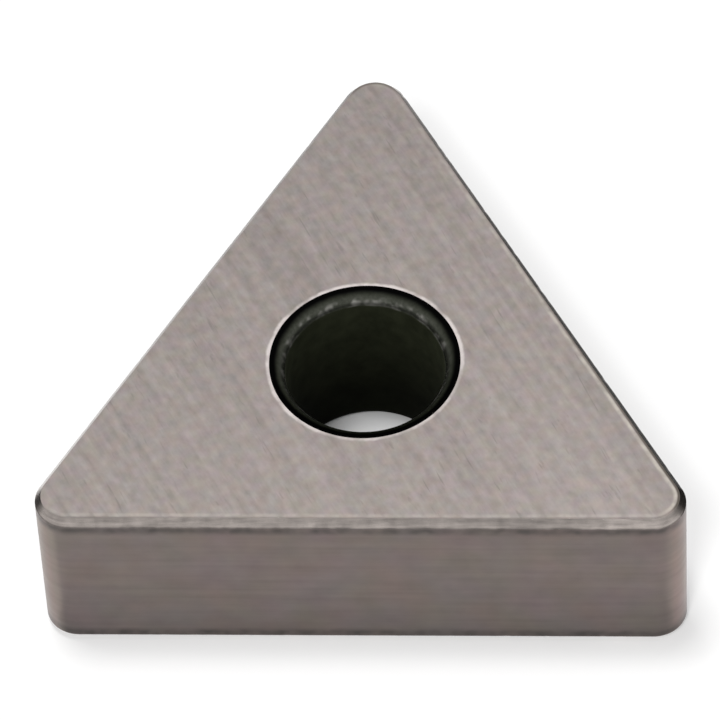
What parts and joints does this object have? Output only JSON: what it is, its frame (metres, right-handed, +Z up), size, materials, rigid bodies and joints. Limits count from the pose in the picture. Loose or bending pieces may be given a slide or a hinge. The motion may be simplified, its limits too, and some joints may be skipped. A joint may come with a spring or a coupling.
{
  "type": "ceramic turning insert",
  "caption": "Flat triangular ceramic cutting insert with rounded noses, a sloping land along every cutting edge and a round fixing hole through its middle.",
  "frame": {"origin": "where the axis of the fixing hole meets the face that the insert seats on", "axes": "+Z up the hole's axis through the thickness, +Y from the hole's axis towards one nose, -Y towards the side opposite that nose"},
  "size_m": [0.0154, 0.0135, 0.0048],
  "materials": {
    "ground_ceramic": "satin, ground all over, warm dark grey, with fine grinding lines; the wall of the hole is as sintered and nearly black"
  },
  "bodies": {
    "root": {"turning_insert": "ground_ceramic"}
  },
  "joints": []
}
